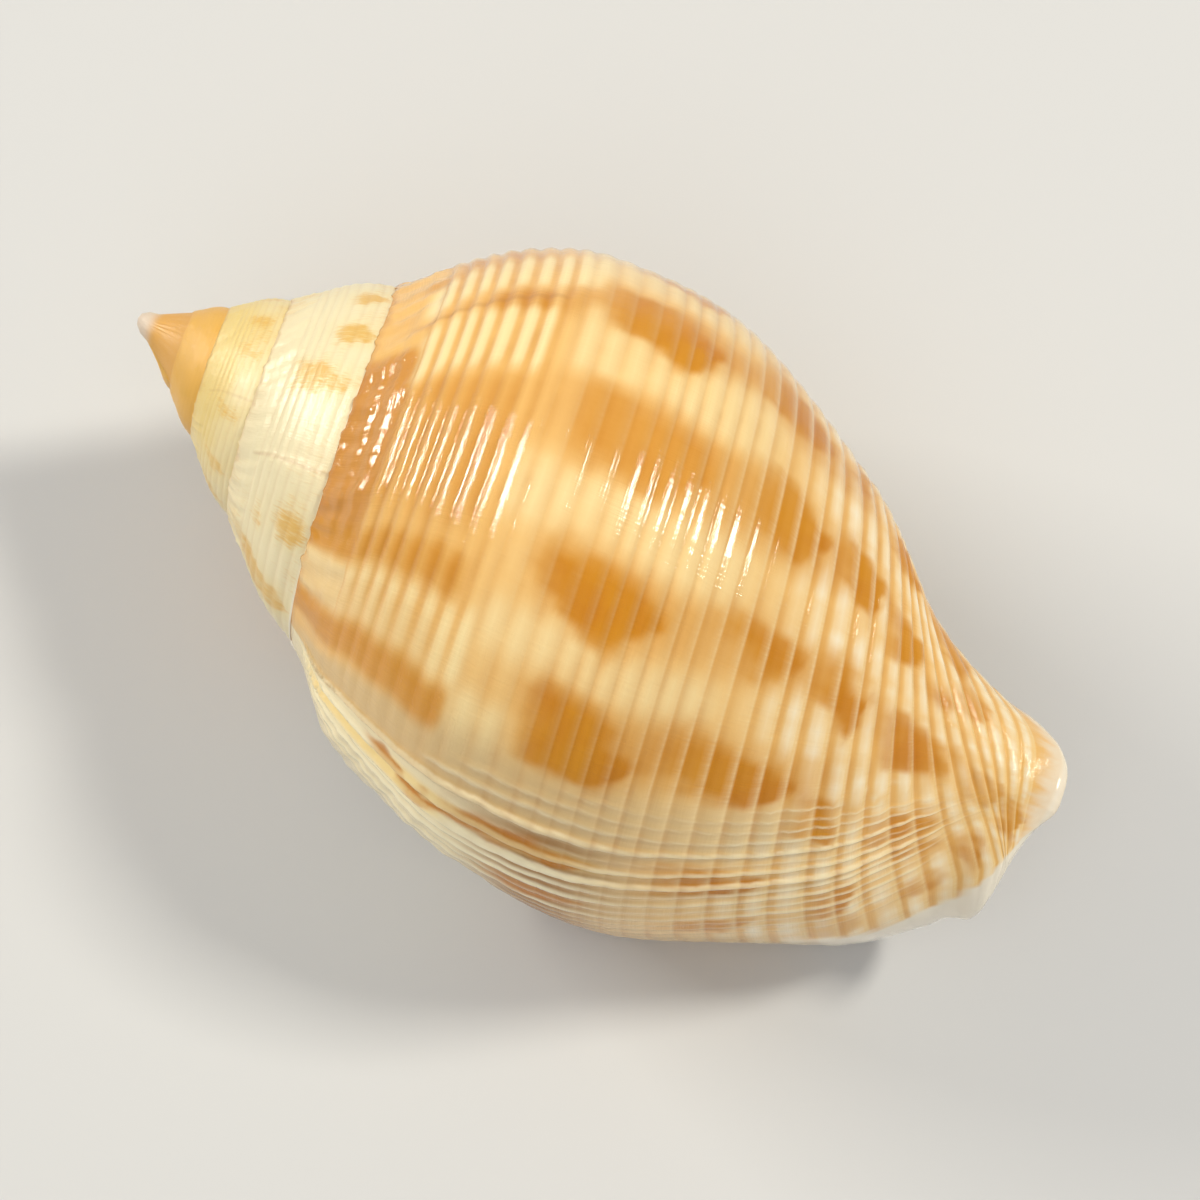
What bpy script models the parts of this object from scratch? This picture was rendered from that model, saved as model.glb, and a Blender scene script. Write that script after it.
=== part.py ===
"""A bonnet shell: one hollow, coiled shell that lies on its open side.

The shell grows round its axis, +X, from the point of the spire to the canal.
Growth angle 0 is the edge of the outer lip at its middle, and the past is
negative. Across the whorl, s runs from 0 at the suture to 1 at the canal's end.
Lengths are in millimetres and angles in degrees until the mesh is finished.
"""
import math

import bmesh
import bpy
from mathutils import Matrix, Vector

MM = 0.001
TURN = 360.0

# Growth: each turn is this many times the size of the turn before it.
TURN_RATIO = 1.664
BACK = -100.0           # growth angle of the middle of the shell's back

# The whorl's section at BACK: share of the way across, place along the axis,
# distance from the axis, and how far that place follows the growth.
WHORL = (
    (0.00, 14.65, 10.5, 1.00),
    (0.12, 18.0, 14.0, 1.00),
    (0.27, 22.0, 16.8, 1.00),
    (0.43, 27.0, 18.35, 1.00),
    (0.58, 35.6, 17.6, 0.89),
    (0.72, 45.8, 12.1, 0.78),
    (0.80, 49.6, 8.6, 0.70),
)
NECK = WHORL[-1][0]
NECK_SLOPE = (0.62, -0.78)
NECK_EASE = 0.36        # how long the neck keeps its own slope
CANAL_EASE = 0.22       # and the canal runs straight before its end
FLATTER = 0.8           # whorls of the spire bulge this much less,
FLATTER_BEFORE = -200.0  # before this growth angle
FLATTER_FADE = 150.0
FLATTER_RISE = 0.12     # between these shares of the way across
FLATTER_TO = 0.6
FLATTER_FALL = 0.5
SUTURE_ON = 0.345       # the next turn is joined on here
INNER_ON = 0.43         # its inner wall is joined on here

# The end of the canal: growth angle, place along the axis, radius and wall.
CANAL_END = (
    (-540.0, 42.0, 2.2, 0.3),
    (-390.0, 44.0, 2.3, 0.3),
    (-310.0, 45.5, 2.4, 0.5),
    (-250.0, 49.5, 2.9, 0.9),
    (-190.0, 55.0, 3.3, 1.2),
    (-150.0, 58.1, 3.3, 1.2),
    (-100.0, 58.8, 3.6, 1.2),
    (-40.0, 58.6, 3.8, 1.3),
    (0.0, 58.6, 4.4, 1.5),
)
TIP = 50.0              # the columella's free end, on the axis
BEND_START = 44.0       # from here on the canal leans to the lip and the back
BEND_LENGTH = 16.0
BEND_SIDE = -1.0
BEND_BACK = 2.0
SPIRE_END = 16.0        # before this place the spire leans away from the lip
SPIRE_LEAN = 1.35
SPIRE_CURVE = 1.5

# The outer lip: share across the whorl, growth angle of its edge, and how far
# the end of the whorl is drawn in (-) or flared out (+).
LIP = (
    (0.00, -22.0, 0.0),
    (0.12, -12.0, 0.0),
    (0.27, -4.0, -1.4),
    (0.43, 5.0, -2.2),
    (0.60, 12.0, -0.6),
    (0.75, 14.0, 1.4),
    (0.86, 9.0, 2.0),
    (0.93, -8.0, 2.8),
    (1.00, -40.0, 0.2),
)
FLARE_FORWARD = 0.45    # the flared part also runs on to the canal
LIP_ZONE = 60.0
LIP_WALL = 2.8
WALL = 1.1
INNER_START = 0.13      # the inner wall stands clear of the turn before it here

# Growth lines: share across the whorl, and how far they lag behind the suture.
LAG_ROWS = 2
ROWS = 50               # rows in a turn
STEP = TURN / ROWS
LAG = (
    (0.00, 0.0),
    (0.15, 7.0),
    (SUTURE_ON, LAG_ROWS * STEP),
    (0.57, 21.0),
    (0.70, 17.0),
    (1.00, 17.0),
)
LAST_ROWS = 160.0       # the last rows spread from the lag to the lip's own edge
BEFORE = ROWS - LAG_ROWS
DEEP = -21              # the row where the hollow ends
SPIRE = -200            # the first row of the spire
SPIRE_COLUMNS = 8
JOIN_COLUMNS = 3
BODY_COLUMNS = 17
TIP_COLUMNS = 3

# How the shell lies: rolled to the lip, pitched, and its rests worn flat.
ROLL = 17.0
PITCH = 5.0
WORN = 0.35

# The inner lip: a glaze of shell on the turn before, as wide as the shell grew
# past the lip, with a free edge and a chink behind it near the canal.
SHIELD = (
    (0.34, 24.0, 0.25, 0.0),
    (0.50, 36.0, 0.45, 0.0),
    (0.66, 52.0, 0.75, 0.1),
    (0.80, 62.0, 0.95, 0.5),
    (0.92, 50.0, 0.6, 0.3),
    (1.00, 40.0, 0.1, 0.0),
)
SHIELD_EDGE = 9.0
SHIELD_DEPTH = 80.0     # how far it runs back into the hollow
CHINK_REACH = 36.0

ANGLE_STEP = 0.5        # steps that slopes of the surface are read over
SHARE_STEP = 0.004
CORNER_STEPS = 6        # the rim turns from the lip to the canal in these steps
SHARP_ANGLE = 60.0
MERGE = 0.001
APEX_REGION = 5.0
APEX_RING = 0.5         # the ring round the point is this much of the last row
APEX_RING_AT = 0.9
APEX_AT = 0.0
COLOUR = (0.80, 0.56, 0.30, 1.0)
ROUGHNESS = 0.35


def smooth(t):
    t = min(max(t, 0.0), 1.0)
    return t * t * (3.0 - 2.0 * t)


def through(knots, column, x):
    """Read a smooth curve through one column of knots ordered by their first."""
    last = len(knots) - 1
    x = min(max(x, knots[0][0]), knots[last][0])
    i = max(j for j in range(last) if knots[j][0] <= x)
    x0, y0 = knots[i][0], knots[i][column]
    x1, y1 = knots[i + 1][0], knots[i + 1][column]
    before = knots[max(i - 1, 0)]
    after = knots[min(i + 2, last)]
    slope0 = (y1 - before[column]) / (x1 - before[0])
    slope1 = (after[column] - y0) / (after[0] - x0)
    h = x1 - x0
    t = (x - x0) / h
    return ((2 * t ** 3 - 3 * t ** 2 + 1) * y0 + (t ** 3 - 2 * t ** 2 + t) * h * slope0
            + (3 * t ** 2 - 2 * t ** 3) * y1 + (t ** 3 - t ** 2) * h * slope1)


def section(angle, s):
    """Place along the axis and distance from it, before the canal's bend."""
    across = min(s, NECK)
    growth = TURN_RATIO ** (through(WHORL, 3, across) * (angle - BACK) / TURN)
    x = through(WHORL, 1, across) * growth
    r = through(WHORL, 2, across) * growth
    if s > NECK:
        t = (s - NECK) / (1.0 - NECK)
        u = 1.0 - t
        end_x = through(CANAL_END, 1, angle)
        end_r = through(CANAL_END, 2, angle)
        reach = math.hypot(end_x - x, end_r - r)
        start = u ** 3 + 3 * u * u * t
        end = t ** 3 + 3 * u * t * t
        x = start * x + end * end_x
        r = start * r + end * end_r
        x += 3 * u * t * reach * (NECK_EASE * u * NECK_SLOPE[0] - CANAL_EASE * t)
        r += 3 * u * t * reach * NECK_EASE * u * NECK_SLOPE[1]
    flatter = smooth(s / FLATTER_RISE) * smooth((FLATTER_TO - s) / FLATTER_FALL)
    r -= FLATTER * flatter * growth * smooth((FLATTER_BEFORE - angle) / FLATTER_FADE)
    drawn = through(LIP, 2, s) * smooth(1.0 + (angle - through(LIP, 1, s)) / LIP_ZONE)
    return x + FLARE_FORWARD * max(drawn, 0.0), r + drawn


def bent(x, r, angle):
    """Turn a place of the section round the axis; the back is up, +Z."""
    turn = math.radians(angle - BACK + 90.0)
    lean = max((x - BEND_START) / BEND_LENGTH, 0.0) ** 2
    spire = SPIRE_LEAN * max(1.0 - x / SPIRE_END, 0.0) ** SPIRE_CURVE
    return Vector((x, r * math.cos(turn) + BEND_SIDE * lean + spire,
                   r * math.sin(turn) + BEND_BACK * lean))


def shield(angle, s):
    """How far the inner lip raises the outside of the turn before."""
    if s <= SHIELD[0][0]:
        return 0.0
    past = angle - through(LIP, 1, s) + TURN
    width = through(SHIELD, 1, s)
    raised = through(SHIELD, 2, s) * smooth((width - past) / SHIELD_EDGE)
    chink = through(SHIELD, 3, s) * smooth((past - width) / SHIELD_EDGE)
    closing = smooth((width + CHINK_REACH - past) / (CHINK_REACH / 2))
    return raised * smooth(1.0 + past / SHIELD_DEPTH) - chink * closing


def outside(angle, s):
    x, r = section(angle, s)
    return bent(x, r + shield(angle, s), angle)


def outward(angle, s):
    """The outward normal of the outside."""
    along = outside(angle + ANGLE_STEP, s) - outside(angle - ANGLE_STEP, s)
    onward = outside(angle, min(s + SHARE_STEP, 1.0))
    across = onward - outside(angle, max(s - SHARE_STEP, 0.0))
    return along.cross(across).normalized()


def wall(angle, s):
    """Thickness: thick at the lip's edge, thin inside, set at the canal's end."""
    near_lip = smooth(1.0 + (angle - through(LIP, 1, s)) / LIP_ZONE)
    thick = WALL + (LIP_WALL - WALL) * near_lip
    at_canal = smooth((s - NECK) / (1.0 - NECK))
    return thick + (through(CANAL_END, 3, angle) - thick) * at_canal


def row_angle(row, s):
    """Growth angle of a row of the sheet at a place across it."""
    settled = LIP[0][1] - through(LAG, 1, s)
    to_lip = through(LIP, 1, s) - settled
    return row * STEP + settled + to_lip * max(0.0, 1.0 + row * STEP / LAST_ROWS)


def columns():
    """Places across the whorl: the spire's part, the join, the rest."""
    spire = [SUTURE_ON * i / SPIRE_COLUMNS for i in range(SPIRE_COLUMNS)]
    join = [SUTURE_ON + (INNER_ON - SUTURE_ON) * i / JOIN_COLUMNS for i in range(JOIN_COLUMNS)]
    body = [INNER_ON + (1.0 - INNER_ON) * i / BODY_COLUMNS for i in range(BODY_COLUMNS + 1)]
    return spire + join + body


PLACES = columns()
ON_SUTURE = SPIRE_COLUMNS
ON_INNER = SPIRE_COLUMNS + JOIN_COLUMNS
END = len(PLACES) - 1


def sheet(row, column):
    """A vertex of the outside; each turn's suture lies on the turn before it."""
    if column == 0 and row - BEFORE >= SPIRE:
        return sheet(row - BEFORE, ON_SUTURE)
    s = PLACES[column]
    return outside(row_angle(row, s), s)


def lining(row, column):
    """A vertex of the hollow's outer wall."""
    if column == 0:
        return sheet(row - BEFORE, ON_INNER)
    s = PLACES[column]
    clear = max(s, INNER_START)
    angle = row_angle(row, clear)
    point = outside(angle, clear) - outward(angle, clear) * wall(angle, clear)
    return sheet(row - BEFORE, ON_INNER).lerp(point, min(1.0, s / INNER_START))


def rim_path():
    """Rows and columns along the free edge: down the lip, then round the canal."""
    down = [(0, column) for column in range(END + 1)]
    back = [(row, END) for row in range(-1, DEEP - BEFORE - 1, -1)]
    return down + back


def rim_inner(row, column):
    """The inner side of the rim."""
    if row >= DEEP:
        return lining(row, column)
    angle = row_angle(row, 1.0)
    return outside(angle, 1.0) - outward(angle, 1.0) * wall(angle, 1.0)


def rim(step, across):
    """A vertex of the rounded rim, from the outside to the hollow."""
    row, column = rim_path()[step]
    if across == 0:
        return sheet(row, column)
    if across == JOIN_COLUMNS:
        return rim_inner(row, column)
    if step == 0:
        return sheet(row - BEFORE, ON_SUTURE + across)
    outer, inner = sheet(row, column), rim_inner(row, column)
    s = PLACES[column]
    angle = row_angle(row, s)
    lip_ahead = outside(angle, s) - outside(angle - ANGLE_STEP, s)
    canal_ahead = outside(angle, s) - outside(angle, s - SHARE_STEP)
    around = smooth((step - END) / CORNER_STEPS + 0.5)
    ahead = lip_ahead.normalized().lerp(canal_ahead.normalized(), around)
    turn = math.pi * across / JOIN_COLUMNS
    middle, half = (outer + inner) / 2, (outer - inner) / 2
    return middle + half * math.cos(turn) + ahead * half.length * math.sin(turn)


def fan(row, across):
    """A vertex between the canal's inner edge and the columella's free end."""
    edge = rim_inner(row, END)
    return edge.lerp(bent(TIP, 0.0, 0.0), across / TIP_COLUMNS)


def patch(bm, rows, cols, place):
    """A grid whose vertex (i, j) is moved to place(i, j)."""
    made = bmesh.ops.create_grid(bm, x_segments=rows, y_segments=cols, size=1.0)
    for vertex in made["verts"]:
        i = round((vertex.co.x + 1.0) / 2.0 * rows)
        j = round((vertex.co.y + 1.0) / 2.0 * cols)
        vertex.co = place(i, j)


def shell_mesh():
    bm = bmesh.new()
    deepest = DEEP - BEFORE
    patch(bm, -SPIRE, ON_SUTURE, lambda i, j: sheet(SPIRE + i, j))
    patch(bm, BEFORE, JOIN_COLUMNS, lambda i, j: sheet(i - BEFORE, ON_SUTURE + j))
    patch(bm, -deepest, END - ON_INNER, lambda i, j: sheet(deepest + i, ON_INNER + j))
    patch(bm, -DEEP, END, lambda i, j: lining(DEEP + i, j))
    patch(bm, len(rim_path()) - 1, JOIN_COLUMNS, rim)
    patch(bm, BEFORE, TIP_COLUMNS, lambda i, j: fan(deepest + i, j))
    bmesh.ops.remove_doubles(bm, verts=bm.verts, dist=MERGE)
    bmesh.ops.dissolve_degenerate(bm, dist=MERGE, edges=bm.edges)
    open_edges = [edge for edge in bm.edges if edge.is_boundary]
    point = [e for e in open_edges if max(v.co.x for v in e.verts) < APEX_REGION]
    deep_end = [e for e in open_edges if e not in point]
    close_apex(bm, point)
    bmesh.ops.triangle_fill(bm, use_beauty=True, edges=deep_end)
    bmesh.ops.recalc_face_normals(bm, faces=bm.faces)
    return bm


def close_apex(bm, edges):
    """Close the point of the spire with a small rounded cap."""
    made = bmesh.ops.extrude_edge_only(bm, edges=edges)["geom"]
    for vertex in [v for v in made if isinstance(v, bmesh.types.BMVert)]:
        x, y, z = vertex.co - bent(vertex.co.x, 0.0, 0.0)
        ring_x = APEX_RING_AT + APEX_RING * (vertex.co.x - APEX_REGION / 2)
        vertex.co = bent(ring_x, 0.0, 0.0) + APEX_RING * Vector((0.0, y, z))
    ring = [e for e in made if isinstance(e, bmesh.types.BMEdge) and e.is_boundary]
    face = bmesh.ops.contextual_create(bm, geom=ring)["faces"]
    centre = bmesh.ops.poke(bm, faces=face)["verts"][0]
    centre.co = bent(APEX_AT, 0.0, 0.0)


def lay_down(bm):
    """Roll and pitch the shell onto its open side, and wear its rests flat."""
    roll = Matrix.Rotation(math.radians(ROLL), 4, "X")
    pitch = Matrix.Rotation(math.radians(PITCH), 4, "Y")
    bmesh.ops.transform(bm, matrix=pitch @ roll, verts=bm.verts)
    low = [min(v.co[k] for v in bm.verts) for k in range(3)]
    high = [max(v.co[k] for v in bm.verts) for k in range(3)]
    middle = Vector(((low[0] + high[0]) / 2, (low[1] + high[1]) / 2, low[2] + WORN))
    bmesh.ops.translate(bm, vec=-middle, verts=bm.verts)
    cut = bmesh.ops.bisect_plane(bm, geom=bm.verts[:] + bm.edges[:] + bm.faces[:],
                                 plane_co=(0, 0, 0), plane_no=(0, 0, -1), clear_outer=True)
    rests = [e for e in cut["geom_cut"] if isinstance(e, bmesh.types.BMEdge)]
    bmesh.ops.holes_fill(bm, edges=rests, sides=0)
    bmesh.ops.scale(bm, vec=(MM, MM, MM), verts=bm.verts)


def shell_material():
    material = bpy.data.materials.new("shell")
    material.use_nodes = True
    skin = material.node_tree.nodes["Principled BSDF"].inputs
    skin["Base Color"].default_value = COLOUR
    skin["Roughness"].default_value = ROUGHNESS
    skin["Metallic"].default_value = 0.0
    return material


def main():
    for old in list(bpy.data.objects):
        bpy.data.objects.remove(old, do_unlink=True)
    bm = shell_mesh()
    lay_down(bm)
    mesh = bpy.data.meshes.new("shell")
    bm.to_mesh(mesh)
    bm.free()
    mesh.materials.append(shell_material())
    mesh.shade_smooth()
    mesh.set_sharp_from_angle(angle=math.radians(SHARP_ANGLE))
    shell = bpy.data.objects.new("shell", mesh)
    bpy.context.scene.collection.objects.link(shell)


main()
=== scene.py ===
"""The looks of a bonnet shell: its sculpture, its colours, and a plain studio.

The shell grows round its axis, +X, from the point of the spire to the canal.
Growth angle 0 is the edge of the outer lip at its middle, and the past is
negative. Across the whorl, share runs from 0 at the suture to 1 at the canal's
end. The shell is worked out in millimetres and degrees and laid down last.
"""

import math

import bmesh
import bpy
import numpy as np
from mathutils import Matrix, Vector


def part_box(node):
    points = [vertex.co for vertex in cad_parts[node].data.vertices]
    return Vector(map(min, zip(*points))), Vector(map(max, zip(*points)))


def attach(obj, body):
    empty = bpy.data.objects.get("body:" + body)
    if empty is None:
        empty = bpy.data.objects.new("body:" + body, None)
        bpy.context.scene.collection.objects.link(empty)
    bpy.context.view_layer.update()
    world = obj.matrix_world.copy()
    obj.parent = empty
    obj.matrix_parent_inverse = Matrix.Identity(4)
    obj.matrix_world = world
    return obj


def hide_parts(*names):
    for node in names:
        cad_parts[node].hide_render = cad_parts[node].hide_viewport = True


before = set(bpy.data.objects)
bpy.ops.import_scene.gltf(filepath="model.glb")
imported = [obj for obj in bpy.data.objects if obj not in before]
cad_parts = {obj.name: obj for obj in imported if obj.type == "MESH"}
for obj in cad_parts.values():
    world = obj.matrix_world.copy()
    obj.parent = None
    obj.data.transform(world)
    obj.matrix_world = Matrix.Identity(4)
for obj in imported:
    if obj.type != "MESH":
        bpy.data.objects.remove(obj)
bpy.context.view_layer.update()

MM = 0.001
TURN = 360

# ---- growth ----
# Each turn is this many times the size of the turn before it.
TURN_RATIO = 1.664
BACK = -100  # growth angle of the middle of the shell's back

# The whorl's section at BACK: share of the way across, place along the axis,
# distance from the axis, and how far that place follows the growth.
WHORL = (
    (0, 14.65, 10.5, 1),
    (0.12, 18, 14, 1),
    (0.27, 22, 16.8, 1),
    (0.43, 27, 18.35, 1),
    (0.58, 35.6, 17.6, 0.89),
    (0.72, 45.8, 12.1, 0.78),
    (0.8, 49.6, 8.6, 0.7),
)
NECK = WHORL[-1][0]
NECK_SLOPE = (0.62, -0.78)
NECK_EASE = 0.36
CANAL_EASE = 0.22
FLATTER = 0.8  # whorls of the spire bulge this much less
FLATTER_BEFORE = (-200, 150)
FLATTER_FROM = (0, 0.12)
FLATTER_TO = (0.6, 0.5)
SUTURE_ON = 0.345  # the next turn is joined on here
INNER_ON = 0.43  # its inner wall is joined on near here

# The end of the canal: growth angle, place along the axis, radius and wall.
CANAL_END = (
    (-540, 42, 2.2, 0.3),
    (-390, 44, 2.3, 0.3),
    (-310, 45.5, 2.4, 0.5),
    (-250, 49.5, 2.9, 0.9),
    (-190, 55, 3.3, 1.2),
    (-150, 58.1, 3.3, 1.2),
    (-100, 58.8, 3.6, 1.2),
    (-40, 58.6, 3.8, 1.3),
    (0, 58.6, 4.4, 1.5),
)
TIP = 50  # the columella's free end, on the axis
BEND_START = 44  # from here on the canal leans to the lip and the back
BEND_LENGTH = 16
BEND_SIDE = -1
BEND_BACK = 2
SPIRE_END = 16  # before this place the spire leans away from the lip
SPIRE_LEAN = 1.35
SPIRE_CURVE = 1.5

# The outer lip: share across the whorl, growth angle of its edge, and how far
# the end of the whorl is drawn in (-) or flared out (+).
LIP = (
    (0, -22, 0),
    (0.12, -12, 0),
    (0.27, -4, -1.4),
    (0.43, 5, -2.2),
    (0.6, 12, -0.6),
    (0.75, 14, 1.4),
    (0.86, 9, 2),
    (0.93, -8, 2.8),
    (1, -40, 0.2),
)
FLARE_FORWARD = 0.45
LIP_ZONE = 60  # degrees over which the lip is drawn in and thickens
LIP_WALL = 2.8
WALL = 1.1
TEETH = 26  # small teeth that the whole length of the lip would hold
TOOTH = 0.5
TEETH_START = (-17, 6)  # degrees past the lip's edge, and over which they rise
TEETH_END = (4, 4)
INNER_START = 0.13  # the hollow's wall starts at this share

# Growth lines: share across the whorl, and how far they lag behind the suture.
SUTURE_LAG = 14.4
LAG = ((0, 0), (0.15, 7), (SUTURE_ON, SUTURE_LAG), (0.57, 21), (0.7, 17), (1, 17))
LAST_ROWS = 160

# The inner lip, a glaze of shell on the turn before: share, how far it reaches
# past the lip, how thick it is, and how deep the chink behind it is.
SHIELD = (
    (0.34, 24, 0.25, 0),
    (0.5, 36, 0.45, 0),
    (0.66, 52, 0.75, 0.1),
    (0.8, 62, 0.95, 0.5),
    (0.92, 50, 0.6, 0.3),
    (1, 40, 0.1, 0),
)
SHIELD_EDGE = 9
SHIELD_DEPTH = 80
CHINK_REACH = 36

# How the shell lies, as its solid does.
ROLL = 17
PITCH = 5

# ---- mesh ----
# From a suture back to the row that it lies on: one turn less the lag.
BEFORE_ANGLE = TURN - SUTURE_LAG
BEFORE = 240  # the same in rows
# Rows and their growth angles: closest together at the lip's ridges.
ROW_ANGLES = ((-BEFORE, -BEFORE_ANGLE), (-200, -200), (-124, -62), (0, 0))
DEEP = -179  # the row where the hollow ends
SPIRE = -4 * BEFORE - 124  # the first row
RIM_ROWS = 12  # rows behind the rim that keep all their edges
BAND_COLUMNS = (0, 0.004, 0.009, 0.015, 0.022, 0.031, 0.041, 0.052, 0.063, 0.073, 0.081)
CORD_COLUMNS = (0, 0.11, 0.26, 0.5, 0.74, 0.89)
END_COLUMNS = 4
TIP_COLUMNS = 6
ANGLE_STEP = 0.5  # how far apart slopes are measured
SHARE_STEP = 0.004
CORNER_STEPS = 24  # steps over which the rim turns from the lip to the canal
MERGE = 0.0005
APEX_REGION = 5  # the hole at the point lies before this place
APEX_RINGS = ((0.86, 1.05), (0.68, 0.5), (0.36, 0.12))  # radius and place
APEX_AT = 0

# ---- sculpture ----
# The grooves between the spiral cords, as shares of the way across.
GROOVES = (
    0.088, 0.118, 0.151, 0.184, 0.222, 0.264, 0.305, SUTURE_ON, 0.381, 0.421, 0.453, 0.483,
    0.505, 0.522, 0.54, 0.559, 0.577, 0.594, 0.611, 0.629, 0.647, 0.665, 0.682, 0.704,
    0.723, 0.7425, 0.767, 0.789, 0.812, 0.834, 0.856, 0.878, 0.9, 0.922, 0.944, 0.966,
)
GROOVE_HALF = 0.2  # as a part of a cord's width
# Share, depth of the narrow groove and height of the cord.
CORDS = (
    (0.088, 0.03, 0.14),
    (0.2, 0.03, 0.17),
    (0.32, 0.03, 0.13),
    (0.42, 0.03, 0.07),
    (0.55, 0.04, 0.055),
    (0.62, 0.05, 0.075),
    (0.7, 0.06, 0.14),
    (0.8, 0.07, 0.17),
    (0.88, 0.06, 0.14),
    (0.95, 0.03, 0.06),
    (1, 0, 0),
)
# Near the canal the cords run forward as the shell grows: share, per degree.
FORWARD = (
    (0.62, 0),
    (0.7, 0.0001),
    (0.77, 0.0004),
    (0.81, 0.0008),
    (0.86, 0.0009),
    (0.93, 0.0004),
    (1, 0),
)
FORWARD_FROM = -160
FORWARD_ZERO = -120
FORWARD_TO = -20
# How much of the cords' height is lost.
LOST_ON_LIP = 0.8
LOST_ON_SPIRE = 0.55
LOST_BEHIND_LIP = 0.6
LOST_UNDER_GLAZE = 0.85
# Where each of these starts, and how far it takes to be full.
ON_LIP = (-12, 14)
ON_SPIRE = (-345, 20)
BEHIND_LIP = (-88, 24)
NEAR_SUTURE = (0.5, 0.2)
GLAZE_FULL = 0.12

# The ridges along the lip: the line of the first strong one, as share and
# growth angle, and how close together they run there.
RIDGE_LINE = (
    (0, -34, 0.3),
    (0.06, -39.5, 0.45),
    (0.15, -46, 0.7),
    (0.34, -51, 0.95),
    (0.5, -52, 1),
    (0.65, -52.5, 1),
    (0.7, -54, 1.05),
    (0.8, -60, 1.15),
    (0.86, -64, 1.15),
    (0.93, -80, 1.15),
    (1, -110, 1.15),
)
RIDGE_MIDDLE = -52
# Each ridge: how far it is past that line, its height, its half width, and
# the shares that it runs between.
RIDGES = (
    (-14.6, 0.04, 0.7, 0.72, 0.9),
    (-11.8, 0.05, 0.7, 0.66, 0.9),
    (-9, 0.05, 0.7, 0.52, 0.91),
    (-6.4, 0.06, 0.7, 0.42, 0.91),
    (-3.5, 0.08, 0.8, 0.36, 0.91),
    (0, 0.2, 0.85, 0, 0.92),
    (3, 0.05, 0.7, 0.4, 0.92),
    (5.6, 0.16, 0.95, 0.1, 0.92),
    (9.4, 0.26, 1.2, 0, 0.92),
    (12.6, 0.1, 1, 0.2, 0.92),
    (15.6, 0.13, 1.1, 0, 0.92),
    (18.8, 0.07, 0.9, 0.4, 0.91),
    (21.9, 0.09, 1.2, 0, 0.91),
    (25, 0.05, 0.9, 0.5, 0.9),
    (28, 0.05, 1.2, 0.1, 0.89),
    (31.5, 0.03, 0.9, 0.5, 0.88),
)
RIDGE_SWAY = 0.3
RIDGE_FADE = 0.06  # share over which the ends of a ridge fade
RIDGES_START = (-130, 20)
RIDGES_WIDE = 1.45  # above the middle of the whorl,
RIDGES_NARROWER = 0.5  # and this much less below it
RIDGES_HIGHER = 0.3  # this much higher above it,
RIDGES_LOWER = 0.9  # and lower towards the canal
# The swelling under each suture, which hangs over the turn before.
SUTURE_SWELLING = 0.2
SUTURE_UNEVEN = 0.08
SUTURE_WIDTH = 0.022
OVERHANG = 0.34
SPIRE_BULGE = 2.2
# The band under the suture, and its rows of beads: share, half width, height.
WRINKLES = 1.5
BAND_END = 0.105
BEAD_ROWS = ((0.035, 0.012, 0.07), (0.062, 0.012, 0.06))
GROWTH_WAVES = 0.02
KNOBS = 0.11  # along the lip's rim
SHIELD_FOLDS = 0.12
# Where growth once stopped: growth line, height of its step, the shares that
# it runs between, and how soon the step is gone.
SCARS = (
    (-149.5, 0.1, 0.06, 0.36, 10),
    (-105, 0.04, 0, 0.64, 14),
    (-449, 0.14, 0.04, 0.345, 16),
)
SCAR_SWAY = 0.8
SCAR_STEP = 1.6  # degrees that a step takes to rise
SCAR_FADE = 0.03  # share over which its ends fade
# Painted shade along these steps, as dark lines: growth line, half width, shares and strength.
SCAR_SHADE_LINES = (
    (-149, 1.6, 0.07, 0.36, 0.25),
    (-449, 1.4, 0.05, 0.36, 0.25),
    (-815, 1.6, 0.05, 0.36, 0.15),
)

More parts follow.
